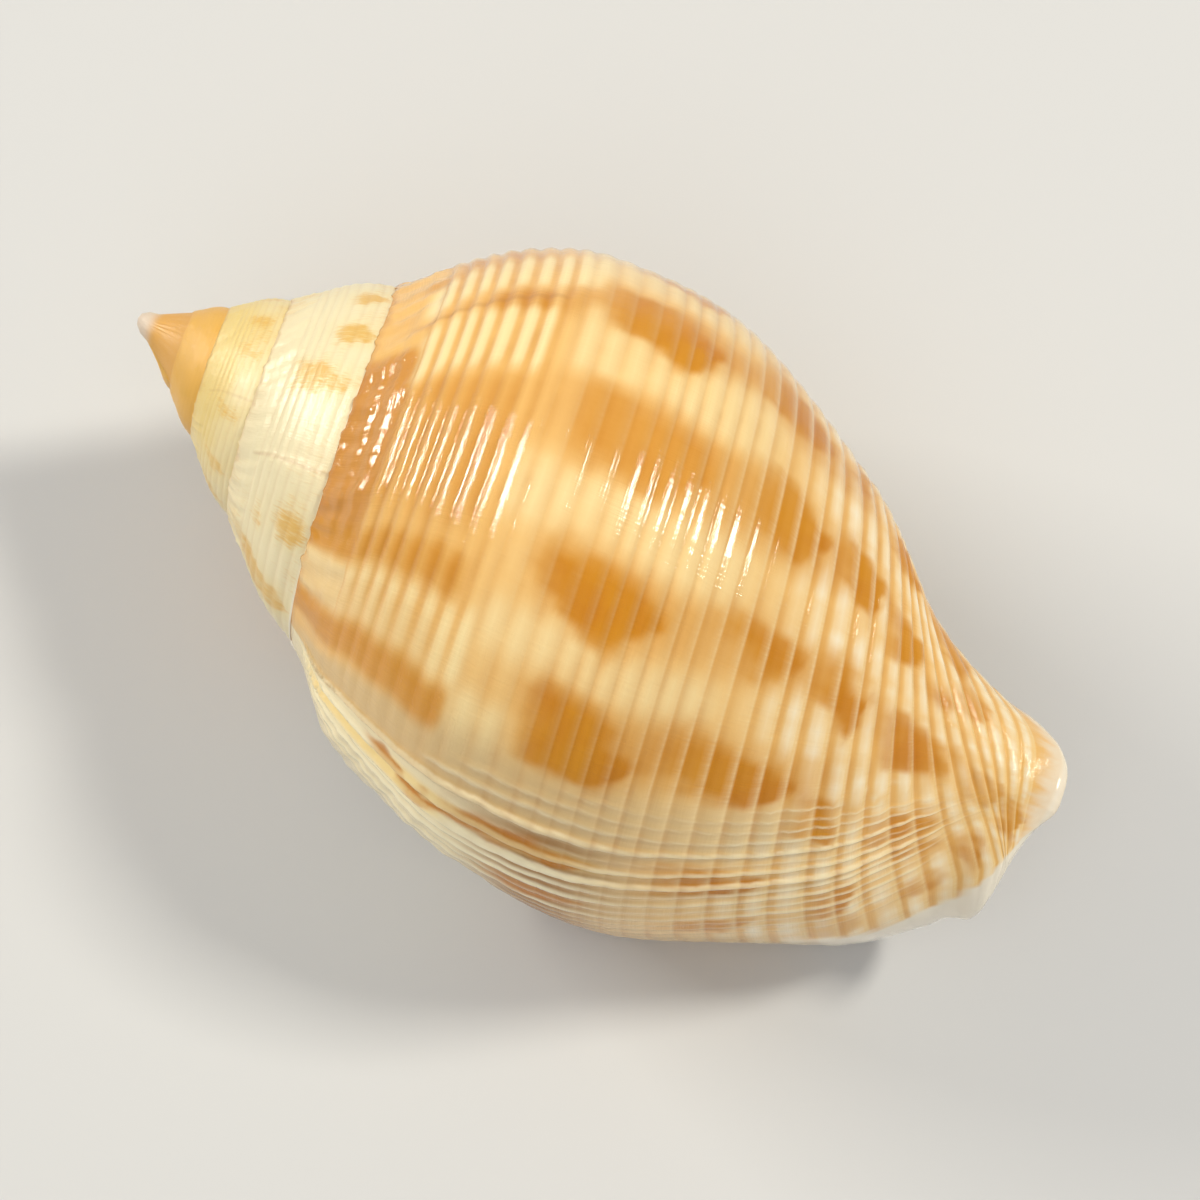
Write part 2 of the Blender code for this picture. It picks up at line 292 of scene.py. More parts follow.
# ---- markings ----
# Flames of colour: their growth angles and shares, how far the newer side of
# each leans, and how strong they are.
FLAMES = (
    (-158.5, -140, 0.405, 0.555, 6, 1),
    (-132, -112.5, 0.4, 0.575, 4, 0.55),
    (-102, -86.5, 0.42, 0.566, 6, 1),
    (-79, -61, 0.45, 0.575, 6, 1),
    (-164, -146.5, 0.58, 0.672, 2, 1),
    (-134.5, -117, 0.595, 0.672, 3, 0.9),
    (-103.5, -92.5, 0.595, 0.672, 4, 0.9),
    (-80.5, -64, 0.578, 0.69, 6, 1),
    (-170, -153, 0.685, 0.712, 0, 0.8),
    (-135, -116.5, 0.675, 0.732, 6, 1),
    (-103.5, -87.5, 0.675, 0.735, 6, 1),
    (-71, -55.5, 0.685, 0.735, 3, 1),
    (-160, -142.5, 0.728, 0.8, 2, 1),
    (-128.5, -112.5, 0.732, 0.805, 0, 1),
    (-119.5, -107.5, 0.8, 0.866, 0, 0.9),
    (-99.5, -76, 0.738, 0.87, 9, 1),
    (-164, -135, 0.81, 0.89, 6, 1),
    (-138, -112, 0.856, 0.905, 3, 0.9),
    (-93, -66, 0.858, 0.94, 6, 0.8),
    (-66, -51, 0.745, 0.87, 2, 1),
    (-50, -40, 0.77, 0.875, 0, 1),
    (-31, -22, 0.78, 0.88, 0, 0.9),
    (-31, -22, 0.612, 0.68, 2, 1),
    (-50, -39, 0.59, 0.69, 1, 1),
    (-41, -26, 0.705, 0.758, 0, 0.9),
    (-26, -13, 0.7, 0.77, 0, 0.5),
    (-50, -43.5, 0.39, 0.565, 1, 1),
    (-46.5, -43, 0.22, 0.43, 1, 1),
    (-36.5, -30.5, 0.45, 0.565, 0, 0.9),
    (-84, -52, 0.928, 0.975, 6, 1),
    (-52, -34, 0.872, 0.93, 4, 0.9),
    (-177, -165, 0.09, 0.16, 2, 0.7),
    (-178, -167, 0.18, 0.24, 2, 0.7),
    (-178, -168, 0.44, 0.56, 2, 0.8),
    (-522.5, -514, 0.2, 0.335, -4, 1),
    (-500.5, -492.5, 0.18, 0.345, -2, 1),
    (-481, -471, 0.11, 0.315, -3, 0.9),
    (-425, -413, 0.11, 0.175, 0, 0.6),
    (-432, -421, 0.2, 0.335, 0, 0.7),
    (-403, -389, 0.08, 0.33, 0, 0.9),
)
# Rows of flames that carry on round the hidden side and up the spire: shares,
# where the first one starts, how far apart they are and how wide.
FLAME_ROWS = (
    (0.44, 0.56, -203, 27, 15),
    (0.6, 0.67, -190, 28, 14),
    (0.685, 0.72, -190, 29, 13),
    (0.74, 0.8, -181, 28, 13),
    (0.83, 0.885, -190, 29, 16),
    (0.1, 0.25, -196, 27, 9),
    (0.12, 0.3, -560, 31, 10),
)
# How many there are, and how strong they are.
FLAMES_ROUND = (6, 0.9)
FLAMES_UP = (26, 0.6)
FLAME_LEAN = 3
FLAME_SPREAD = 4  # degrees by which they miss their even places
FLAME_SWAY = 2.2  # how far the edges of a flame wander, in degrees
FLAME_SWAY_ACROSS = 0.007
FLAME_ZIGZAG = 1.6  # and from cord to cord, towards the canal
FLAME_TAPER_OLD = 0.4  # how much narrower it gets on its older side,
FLAME_TAPER_NEW = 0.5  # and on its newer side,
FLAME_NARROW = 0.7  # from this far down
FLAME_FADE = 6.5  # how soft its older side is, in degrees,
FLAME_SHARPER = 0.8  # its newer side, as a part of that,
FLAME_TOP = 0.08  # and its top and bottom, in shares
FLAME_BOTTOM = 0.026
FLAME_TOP_STRENGTH = 0.75
FLAME_SOFTER = 0.8  # towards the canal
FLAME_PALER = 0.25
HALO = 1.6  # so much softer is the halo of a flame,
GLOW = 2.5  # and its glow on the spire
# Where the last turn starts, and the upper and lower parts of the whorl.
BODY = (-375, 20)
UPPER = (0.39, 0.06)
LOWER = (0.62, 0.07)
EVEN = 0.8  # how even the colour is where the cords are faint
FURROW_AND_SHADE = (0.48, 0.34, 0.22)  # brown between the cords, partly painted shade in the furrows: above, middle and below
CANAL_GLAZE = 0.75
# Streaks along the growth lines: growth lines, shares and strength of the
# ochre ones, the brown ones and the pale ones.
STREAK_SWAY = 1.2
STREAK_EDGE = 6
BROWN_EDGE = 10
STREAK_END = 0.03
OCHRE_STREAKS = (
    (-93.5, -84.5, -0.02, 0.335, 0.85),
    (-70, -61, -0.02, 0.37, 0.8),
    (-82, -66, -0.02, 0.31, 0.4),
    (-153, -145, 0.19, 0.325, 0.9),
    (-151.5, -147.5, 0.05, 0.2, 0.6),
    (-176, -166, 0.05, 0.3, 0.6),
)
BROWN_STREAKS = (
    (-142, -92, -0.02, 0.095, 1),
    (-128, -99, 0, 0.31, 0.95),
    (-131, -113, 0.28, 0.46, 0.5),
    (-157, -143, 0.33, 0.72, 0.8),
    (-131, -114, 0.42, 0.72, 0.7),
    (-104, -89, 0.43, 0.72, 0.6),
    (-80, -66, 0.47, 0.72, 0.6),
    (-101, -91, 0.02, 0.3, 0.35),
    (-232, -205, -0.02, 0.3, 0.8),
    (-300, -262, -0.02, 0.3, 0.8),
)
PALE_STREAKS = (
    (-146, -129.5, 0.086, 0.335, 1),
    (-169.5, -154, 0.07, 0.4, 1),
    (-84, -70.5, 0, 0.38, 0.9),
    (-149, -131, 0.38, 0.62, 0.6),
    (-113, -101, 0.36, 0.62, 0.6),
    (-88, -79, 0.38, 0.62, 0.6),
    (-71, -58, 0.37, 0.46, 0.7),
    (-181, -160, 0.35, 0.6, 0.55),
    (-200, -185, 0.1, 0.4, 0.8),
)


def smooth(t):
    t = np.clip(t, 0, 1)
    return t * t * (3 - 2 * t)


def rise(value, start, length):
    """0 up to start, and eased up to 1 over length."""
    return smooth((value - start) / length)


def fall(value, end, length):
    """1 at first, and eased down to 0 over length, up to the end."""
    return smooth((end - value) / length)


def soft(value, low, high, edge):
    """1 between low and high, with soft edges."""
    return smooth((value - low) / edge + 0.5) * smooth((high - value) / edge + 0.5)


def bump(t):
    """A soft bump: 1 at 0, and gone at -1 and 1."""
    return smooth(1 - np.abs(t))


def through(knots, column, x):
    """Read a smooth curve through one column of knots ordered by their first."""
    table = np.array(knots, float)
    at, value = table[:, 0], table[:, column]
    last = len(at) - 1
    x = np.clip(x, at[0], at[last])
    i = np.clip(np.searchsorted(at, x, side="right") - 1, 0, last - 1)
    before = np.maximum(i - 1, 0)
    after = np.minimum(i + 2, last)
    slope0 = (value[i + 1] - value[before]) / (at[i + 1] - at[before])
    slope1 = (value[after] - value[i]) / (at[after] - at[i])
    h = at[i + 1] - at[i]
    t = (x - at[i]) / h
    return ((2 * t ** 3 - 3 * t ** 2 + 1) * value[i] + (t ** 3 - 2 * t ** 2 + t) * h * slope0
            + (3 * t ** 2 - 2 * t ** 3) * value[i + 1] + (t ** 3 - t ** 2) * h * slope1)


def section(angle, share):
    """Place along the axis and distance from it, before the canal's bend."""
    across = np.minimum(share, NECK)
    growth = TURN_RATIO ** (through(WHORL, 3, across) * (angle - BACK) / TURN)
    x = through(WHORL, 1, across) * growth
    r = through(WHORL, 2, across) * growth
    t = np.clip((share - NECK) / (1 - NECK), 0, 1)
    u = 1 - t
    end_x = through(CANAL_END, 1, angle)
    end_r = through(CANAL_END, 2, angle)
    reach = np.hypot(end_x - x, end_r - r)
    start = u ** 3 + 3 * u * u * t
    end = t ** 3 + 3 * u * t * t
    x = start * x + end * end_x + 3 * u * t * reach * (NECK_EASE * u * NECK_SLOPE[0] - CANAL_EASE * t)
    r = start * r + end * end_r + 3 * u * t * reach * NECK_EASE * u * NECK_SLOPE[1]
    flatter = FLATTER * rise(share, *FLATTER_FROM) * fall(share, *FLATTER_TO) * fall(angle, *FLATTER_BEFORE)
    r = r - flatter * growth
    drawn = through(LIP, 2, share) * smooth(1 + (angle - through(LIP, 1, share)) / LIP_ZONE)
    return x + FLARE_FORWARD * np.maximum(drawn, 0), r + drawn


def bent(x, r, angle):
    """Turn a place of the section round the axis; the back is up, +Z."""
    turn = np.radians(angle - BACK + 90)
    lean = np.maximum((x - BEND_START) / BEND_LENGTH, 0) ** 2
    spire = SPIRE_LEAN * np.maximum(1 - x / SPIRE_END, 0) ** SPIRE_CURVE
    return np.stack([x + 0 * turn, r * np.cos(turn) + BEND_SIDE * lean + spire,
                     r * np.sin(turn) + BEND_BACK * lean], axis=-1)


def shield(angle, share):
    """How far the inner lip raises the outside of the turn before."""
    past = angle - through(LIP, 1, share) + TURN
    width = through(SHIELD, 1, share)
    raised = through(SHIELD, 2, share) * fall(past, width, SHIELD_EDGE)
    chink = through(SHIELD, 3, share) * rise(past, width, SHIELD_EDGE)
    closing = fall(past, width + CHINK_REACH, CHINK_REACH / 2)
    height = raised * smooth(1 + past / SHIELD_DEPTH) - chink * closing
    return np.where(share <= SHIELD[0][0], 0, height)


def plain(angle, share):
    """A place of the outside without its sculpture."""
    x, r = section(angle, share)
    return bent(x, r + shield(angle, share), angle)


def unit(vectors):
    return vectors / np.linalg.norm(vectors, axis=-1, keepdims=True)


def outward(angle, share):
    """The outward normal of the outside."""
    along = plain(angle + ANGLE_STEP, share) - plain(angle - ANGLE_STEP, share)
    onward = plain(angle, np.minimum(share + SHARE_STEP, 1))
    across = onward - plain(angle, np.maximum(share - SHARE_STEP, 0))
    return unit(np.cross(along, across))


def teeth(angle, share):
    """Small teeth along the inner edge of the outer lip."""
    past = angle - through(LIP, 1, share)
    row = np.sin(share * TEETH * 2 * np.pi + 0.6 * np.sin(share * 31))
    along = rise(past, *TEETH_START) * fall(past, *TEETH_END)
    return TOOTH * smooth(row) * along * rise(share, 0.2, 0.08) * fall(share, 0.9, 0.06)


def wall(angle, share):
    """Thickness: thick at the lip's edge, thin inside, set at the canal's end."""
    near_lip = smooth(1 + (angle - through(LIP, 1, share)) / LIP_ZONE)
    thick = WALL + (LIP_WALL - WALL) * near_lip + teeth(angle, share)
    at_canal = rise(share, NECK, 1 - NECK)
    return thick + (through(CANAL_END, 3, angle) - thick) * at_canal


def grown(row):
    """Growth angle at the suture, counted back from the last row."""
    turns = np.ceil(row / BEFORE)
    rows, angles = zip(*ROW_ANGLES)
    return turns * BEFORE_ANGLE + np.interp(row - turns * BEFORE, rows, angles)


def row_angle(row, share):
    """Growth angle of a row of the sheet at a place across it."""
    settled = LIP[0][1] - through(LAG, 1, share)
    to_lip = through(LIP, 1, share) - settled
    return grown(row) + settled + to_lip * np.maximum(0, 1 + grown(row) / LAST_ROWS)


def columns():
    """Places across the whorl: the plain band, six for each cord, the rest."""
    places = list(BAND_COLUMNS)
    for low, high in zip(GROOVES, GROOVES[1:]):
        places += [low + (high - low) * part for part in CORD_COLUMNS]
    last = GROOVES[-1]
    return np.array(places + [last + (1 - last) * i / END_COLUMNS for i in range(END_COLUMNS + 1)])


PLACES = columns()
ON_SUTURE = int(np.argmin(abs(PLACES - SUTURE_ON)))
ON_INNER = int(np.argmin(abs(PLACES - INNER_ON)))
JOIN_COLUMNS = ON_INNER - ON_SUTURE
END = len(PLACES) - 1


def spot(row, column):
    """Growth angle and share of a vertex of the sheet."""
    place = PLACES[column]
    angle = np.clip(row_angle(row, place), FORWARD_FROM, FORWARD_TO)
    share = place + through(FORWARD, 1, place) * (angle - FORWARD_ZERO)
    return row_angle(row, share), share


def wander(angle, seed):
    """An uneven curve between about -1 and 1 that never repeats."""
    return (np.sin(angle * 0.61 + seed) + np.sin(angle * 0.23 + 2.3 * seed)
            + np.sin(angle * 1.37 + 4.1 * seed)) / 3


def drift(angle, share, seed):
    """A smooth uneven surface between about -1 and 1, in lumps of some millimetres."""
    lumps = (np.sin(0.39 * angle + 22 * share + seed) + np.sin(0.21 * angle - 57 * share + 1.7 * seed)
             + np.sin(0.52 * angle + 48 * share + 2.9 * seed))
    small = (np.sin(0.93 * angle - 71 * share + 3.1 * seed)
             + np.sin(1.21 * angle + 120 * share + 0.4 * seed))
    return (lumps + 0.6 * small) / 3.4


def of_cord(place):
    """Which cord a place is on, and how far across it, from 0 to 1."""
    edges = np.array(GROOVES)
    i = np.clip(np.searchsorted(edges, place + 1e-7, side="right") - 1, 0, len(edges) - 2)
    return i, np.clip((place - edges[i]) / (edges[i + 1] - edges[i]), 0, 1)


def groove(place, half):
    """1 along the bottom of each groove, 0 past half a cord's share from it."""
    part = of_cord(place)[1]
    along = smooth(1 - np.minimum(part, 1 - part) / half)
    return along * rise(place, GROOVES[0] - 0.004, 0.004) * fall(place, GROOVES[-1] + 0.006, 0.006)


def cord_wave(place):
    """1 along the middle of each cord, falling softly to 0 in the furrows."""
    wave = np.sin(np.pi * of_cord(place)[1]) ** 2
    return wave * rise(place, GROOVES[0], 0.004) * fall(place, GROOVES[-1], 0.01)


def cord_relief(place):
    """Height of the cords, with the narrow grooves between them."""
    cut = through(CORDS, 1, place) * groove(place, GROOVE_HALF)
    return through(CORDS, 2, place) * cord_wave(place) - cut


def growth_line(angle, share):
    """Growth angle that a growth line has at the middle of the whorl."""
    return angle - through(RIDGE_LINE, 1, share) + RIDGE_MIDDLE


def ridge_past(angle, share):
    """Degrees past the first strong ridge, at the spacing of the whorl's middle."""
    return (angle - through(RIDGE_LINE, 1, share)) / through(RIDGE_LINE, 2, share)


def ridges(angle, share):
    """Height of the ridges along the lip."""
    past = ridge_past(angle, share)
    wide = RIDGES_WIDE - RIDGES_NARROWER * rise(share, 0.5, 0.14)
    height = np.zeros_like(past)
    for at, high, half, low, top in RIDGES:
        sway = RIDGE_SWAY * wander(share * 110, at)
        here = soft(share, low, top, RIDGE_FADE)
        height = height + high * here * bump((past - at - sway) / (half * wide))
    higher = RIDGES_HIGHER * fall(share, 0.6, 0.1) - RIDGES_LOWER * rise(share, 0.76, 0.13)
    return height * rise(share, 0.01, 0.08) * (1 + higher)


def scars(angle, share):
    """Small steps where growth once stopped."""
    line = growth_line(angle, share)
    height = np.zeros_like(line)
    for at, high, low, top, length in SCARS:
        here = rise(share, low, SCAR_FADE) * fall(share, top, SCAR_FADE)
        step = smooth((line - at + SCAR_SWAY * wander(share * 60, at)) / SCAR_STEP + 0.5)
        height = height + high * here * step * fall(line, at + length, length)
    return height


def behind_lip(angle, share):
    """1 behind the lip near the suture, where the cords are faint."""
    return rise(angle, *BEHIND_LIP) * fall(share, *NEAR_SUTURE)


def size_at(angle):
    """How small the sculpture of the older turns is, against the last one's."""
    return TURN_RATIO ** (np.minimum(angle - BACK, 0) / TURN)


def relief(angle, share, place):
    """Height of the sculpture above the plain outside."""
    past = ridge_past(angle, share)
    line = growth_line(angle, share)
    glazed = rise(shield(angle, share), 0, GLAZE_FULL)
    from_lip = fall(angle, -42, 16)

    cords = cord_relief(place) * (1 - LOST_ON_LIP * rise(past, *ON_LIP))
    cords = cords * (1 - LOST_ON_SPIRE * fall(angle, *ON_SPIRE))
    cords = cords * (1 - LOST_BEHIND_LIP * behind_lip(angle, share)) * (1 - LOST_UNDER_GLAZE * glazed)
    swelling = SUTURE_SWELLING + SUTURE_UNEVEN * wander(angle, 1) * from_lip
    swelling = swelling * bump((share - 0.009) / SUTURE_WIDTH)
    whorl = np.clip(share / SUTURE_ON, 0, 1)
    bulge = SPIRE_BULGE * whorl * (1 - whorl) * fall(angle, -TURN, 30)
    band = rise(share, 0, 0.02) * fall(share, BAND_END, 0.03) * from_lip
    wrinkles = 0.08 * wander(line * 0.5 + 6 * share, 2) + 0.06 * wander(line * 0.7 + 30 * share, 5)
    for at, half, high in BEAD_ROWS:
        wrinkles = wrinkles + high * bump((share - at) / half)
    waves = GROWTH_WAVES * wander(line * 0.45, 3) * rise(share, 0.05, 0.1)
    knobs = KNOBS * wander(share * 120 + 0.3 * past, 4) * rise(past, 12, 8)
    knobs = knobs * fall(share, 0.55, 0.15) * rise(share, 0.04, 0.08)
    lip = knobs + ridges(angle, share) * rise(angle, *RIDGES_START)
    folds = SHIELD_FOLDS * wander(place * 420, 0.7) * glazed * rise(share, 0.55, 0.1)
    height = cords + swelling + bulge + WRINKLES * wrinkles * band + waves + scars(angle, share) + lip
    return height * size_at(angle) + folds


def sheet(row, column):
    """Vertices of the outside; each turn's suture lies on the turn before it."""
    row, column = np.broadcast_arrays(row, column)
    on_before = (column == 0) & (row - BEFORE >= SPIRE)
    row = np.where(on_before, row - BEFORE, row)
    column = np.where(on_before, ON_SUTURE, column)
    angle, share = spot(row, column)
    height = relief(angle, share, PLACES[column])
    out = outward(angle, share)
    ahead = plain(angle + ANGLE_STEP, share) - plain(angle - ANGLE_STEP, share)
    to_spire = unit(np.cross(ahead, out))
    uneven = wander(angle * 0.8, 6) * fall(angle, -46, 12)
    over = OVERHANG * (1 + uneven) * bump((share - 0.008) / SUTURE_WIDTH) * size_at(angle)
    return plain(angle, share) + out * height[..., None] + to_spire * over[..., None]


def lining(row, column):
    """Vertices of the hollow's outer wall."""
    row, column = np.broadcast_arrays(row, column)
    foot = sheet(row - BEFORE, np.full_like(column, ON_INNER))
    angle, share = spot(row, column)
    clear = np.maximum(share, INNER_START)
    angle = row_angle(row, clear)
    inner = plain(angle, clear) - outward(angle, clear) * wall(angle, clear)[..., None]
    climb = np.clip(share / INNER_START, 0, 1)[..., None]
    return foot + (inner - foot) * climb


def rim_inner(row, column):
    """The inner side of the rim."""
    angle, share = spot(row, column)
    edge = plain(angle, share) - outward(angle, share) * wall(angle, share)[..., None]
    return np.where((row >= DEEP)[..., None], lining(row, column), edge)


def along_rim(step):
    """Row and column: down the lip, then back along the canal's end."""
    return np.minimum(END - step, 0), np.minimum(step, END)


def rim(step, across):
    """Vertices of the rounded rim, from the outside to the hollow."""
    row, column = along_rim(step)
    outer = sheet(row, column)
    inner = rim_inner(row, column)
    angle, share = spot(row, column)
    lip_ahead = unit(plain(angle, share) - plain(angle - ANGLE_STEP, share))
    canal_ahead = unit(plain(angle, share) - plain(angle, share - SHARE_STEP))
    around = smooth((step - END) / CORNER_STEPS + 0.5)[..., None]
    ahead = lip_ahead + (canal_ahead - lip_ahead) * around
    turn = (np.pi * across / JOIN_COLUMNS)[..., None]
    half = (outer - inner) / 2
    length = np.linalg.norm(half, axis=-1, keepdims=True)
    point = (outer + inner) / 2 + half * np.cos(turn) + ahead * length * np.sin(turn)
    point = np.where((across == 0)[..., None], outer, point)
    point = np.where((across == JOIN_COLUMNS)[..., None], inner, point)
    join = sheet(row - BEFORE, np.minimum(ON_SUTURE + across, END))
    return np.where((step == 0)[..., None], join, point)


def fan(row, across):
    """Vertices between the canal's inner edge and the columella's free end."""
    edge = rim_inner(row, np.full_like(row, END))
    tip = bent(TIP, 0, np.zeros(1))
    return edge + (tip - edge) * (across / TIP_COLUMNS)[..., None]


def patch(bm, rows, columns, place, spots, keep=None):
    """A grid laid over rows and columns, with its growth angles and shares.

    Edges along the rows and columns that keep() refuses are marked as spare."""
    growth = bm.loops.layers.uv["growth"]
    cords = bm.loops.layers.uv["cords"]
    made = bmesh.ops.create_grid(bm, x_segments=len(rows) - 1, y_segments=len(columns) - 1, size=1)
    verts = made["verts"]
    flat = np.array([v.co[:2] for v in verts])
    i = np.rint((flat[:, 0] + 1) / 2 * (len(rows) - 1)).astype(int)
    j = np.rint((flat[:, 1] + 1) / 2 * (len(columns) - 1)).astype(int)
    row, column = np.array(rows)[i], np.array(columns)[j]
    points = place(row, column)
    angle, share, cord, inner = np.broadcast_arrays(*spots(row, column))
    number = bm.verts.layers.int["number"]
    faces = set()
    for k, vert in enumerate(verts):
        vert.co = points[k]
        vert[number] = k
        faces.update(vert.link_faces)
    for face in faces:
        for loop in face.loops:
            k = loop.vert[number]
            loop[growth].uv = (angle[k], share[k])
            loop[cords].uv = (cord[k], inner[k])
    if keep:
        spare = bm.edges.layers.int["spare"]
        kept_row, kept_column = keep(row, column)
        for edge in {edge for vert in verts for edge in vert.link_edges}:
            a, b = (vert[number] for vert in edge.verts)
            refused = not kept_row[a] if i[a] == i[b] else not kept_column[a]
            edge[spare] = int(refused and len(edge.link_faces) == 2)


def on_outside(row, column, inner=0):
    """Growth angle, share, place among the cords, and how far in it is."""
    return *spot(row, column), PLACES[column], inner


def on_inside(row, column):
    return on_outside(row, column, 1)


def on_rim(step, across):
    return on_outside(*along_rim(step), across / JOIN_COLUMNS)


def on_fan(row, across):
    return on_outside(row, END, 1)


def shell_mesh():
    bm = bmesh.new()
    bm.loops.layers.uv.new("growth")
    bm.loops.layers.uv.new("cords")
    bm.verts.layers.int.new("number")
    bm.edges.layers.int.new("spare")
    deepest = DEEP - BEFORE

    def keep_outside(row, column):
        step = np.select([row > -2 * BEFORE - 1, row > -3 * BEFORE - 1], [1, 2], 5)
        step = np.where((column > ON_SUTURE) & (row < -BEFORE), 2, step)
        step = np.where((column > ON_SUTURE) & (row < -BEFORE - 60), 4, step)
        early = (row < -3 * BEFORE) & (column % 3 != 0)
        return row % step == 0, ~early

    def keep_lining(row, column):
        near_lip = row > -RIM_ROWS
        return near_lip | (row % 4 == 0), near_lip | (column % 3 == 0)

    def keep_rim(step, across):
        return np.full(len(step), True), across % 2 == 0

    patch(bm, range(SPIRE, 1), range(ON_SUTURE + 1), sheet, on_outside, keep_outside)
    patch(bm, range(-BEFORE, 1), range(ON_SUTURE, ON_INNER + 1), sheet, on_outside)
    patch(bm, range(deepest, 1), range(ON_INNER, END + 1), sheet, on_outside, keep_outside)
    patch(bm, range(DEEP, 1), range(END + 1), lining, on_inside, keep_lining)
    patch(bm, range(END - deepest + 1), range(JOIN_COLUMNS + 1), rim, on_rim, keep_rim)
    patch(bm, range(deepest, DEEP + 1), range(TIP_COLUMNS + 1), fan, on_fan)
    bmesh.ops.remove_doubles(bm, verts=bm.verts, dist=MERGE)
    spare = bm.edges.layers.int["spare"]
    bmesh.ops.dissolve_edges(bm, edges=[e for e in bm.edges if e[spare]], use_verts=True)
    bmesh.ops.dissolve_degenerate(bm, dist=MERGE, edges=bm.edges)
    open_edges = [edge for edge in bm.edges if edge.is_boundary]
    point = [e for e in open_edges if max(v.co.x for v in e.verts) < APEX_REGION]
    deep_end = [e for e in open_edges if e not in point]
    close_apex(bm, point)
    bmesh.ops.triangle_fill(bm, use_beauty=True, edges=deep_end)
    bmesh.ops.recalc_face_normals(bm, faces=bm.faces)
    return bm


def on_axis(place):
    return Vector(bent(place, 0, np.zeros(1))[0])


def close_apex(bm, edges):
    """Close the point of the spire with a small rounded cap."""
    for radius, place in APEX_RINGS:
        made = bmesh.ops.extrude_edge_only(bm, edges=edges)["geom"]
        for vertex in [v for v in made if isinstance(v, bmesh.types.BMVert)]:
            around = vertex.co - on_axis(vertex.co.x)
            around.x = 0
            vertex.co = on_axis(place) + radius * around.normalized()
        edges = [e for e in made if isinstance(e, bmesh.types.BMEdge) and e.is_boundary]
    face = bmesh.ops.contextual_create(bm, geom=edges)["faces"]
    centre = bmesh.ops.poke(bm, faces=face)["verts"][0]
    centre.co = on_axis(APEX_AT)


def lay_down(bm):
    """Roll and pitch the shell onto its open side, and wear its rests flat."""
    roll = Matrix.Rotation(math.radians(ROLL), 4, "X")
    pitch = Matrix.Rotation(math.radians(PITCH), 4, "Y")
    bmesh.ops.transform(bm, matrix=pitch @ roll, verts=bm.verts)
    bmesh.ops.scale(bm, vec=(MM, MM, MM), verts=bm.verts)
    low = [min(v.co[k] for v in bm.verts) for k in range(3)]
    high = [max(v.co[k] for v in bm.verts) for k in range(3)]
    solid_low, solid_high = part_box("shell")
    middle = Vector((
        (low[0] + high[0] - solid_low.x - solid_high.x) / 2,
        (low[1] + high[1] - solid_low.y - solid_high.y) / 2,
        high[2] - solid_high.z,
    ))
    bmesh.ops.translate(bm, vec=-middle, verts=bm.verts)
    cut = bmesh.ops.bisect_plane(bm, geom=bm.verts[:] + bm.edges[:] + bm.faces[:],
                                 plane_co=(0, 0, 0), plane_no=(0, 0, -1), clear_outer=True)
    rests = [e for e in cut["geom_cut"] if isinstance(e, bmesh.types.BMEdge)]
    bmesh.ops.holes_fill(bm, edges=rests, sides=0)
    bmesh.ops.triangulate(bm, faces=bm.faces)


def all_flames():
    """The flames, with those of the rows that carry on."""
    marks = list(FLAMES)
    for low, high, first, apart, width in FLAME_ROWS:
        count, strength = FLAMES_UP if first < -500 else FLAMES_ROUND
        for k in range(count):
            left = first - apart * k + FLAME_SPREAD * math.sin(2.1 * k + 40 * low)
            marks.append((left, left + width, low, high, FLAME_LEAN, strength))
    return marks


def flames(angle, share, place, halo=0):
    """Soft drops of colour: they fade in from above and from the older side,
    and end more sharply on the newer side and below. A halo makes them wider."""
    zigzag = FLAME_ZIGZAG * rise(share, 0.64, 0.08) * np.sin(of_cord(place)[0] * 2.4 + 0.7)
    line = angle + zigzag * cord_wave(place) + FLAME_SWAY * drift(angle, share, 1)
    across = share + FLAME_SWAY_ACROSS * drift(angle, share, 4)
    softer = (1 + halo) * (1 + FLAME_SOFTER * rise(share, 0.7, 0.15))
    clear = np.ones_like(angle)
    for left, right, low, high, lean, strength in all_flames():
        t = np.clip((across - low) / (high - low), 0, 1)
        width = right - left
        drawn_in = np.maximum((t - FLAME_NARROW) / (1 - FLAME_NARROW), 0) ** 1.5
        older = left + FLAME_TAPER_OLD * width * t ** 2
        newer = right - lean * np.maximum(1 - t / FLAME_NARROW, 0) - FLAME_TAPER_NEW * width * drawn_in
        fade = min(FLAME_FADE, 0.6 * width) * softer
        mark = smooth((line - older) / fade + 0.5) * smooth((newer - line) / (FLAME_SHARPER * fade) + 0.5)
        top = min(FLAME_TOP, 0.8 * (high - low)) * (1 + halo)
        mark = mark * smooth((across - low) / top + 0.3)
        mark = mark * smooth((high - across) / (FLAME_BOTTOM * (1 + halo)) + 0.8)
        clear = clear * (1 - strength * mark * (FLAME_TOP_STRENGTH + (1 - FLAME_TOP_STRENGTH) * t))
    return (1 - clear) * (1 - FLAME_PALER * rise(share, 0.79, 0.07))


def streaks(table, angle, share, edge=STREAK_EDGE):
    """Soft streaks along the growth lines."""
    line = growth_line(angle, share) + STREAK_SWAY * wander(share * 40, 3)
    clear = np.ones_like(angle)
    for left, right, low, high, strength in table:
        clear = clear * (1 - strength * soft(line, left, right, edge) * soft(share, low, high, STREAK_END))
    return 1 - clear


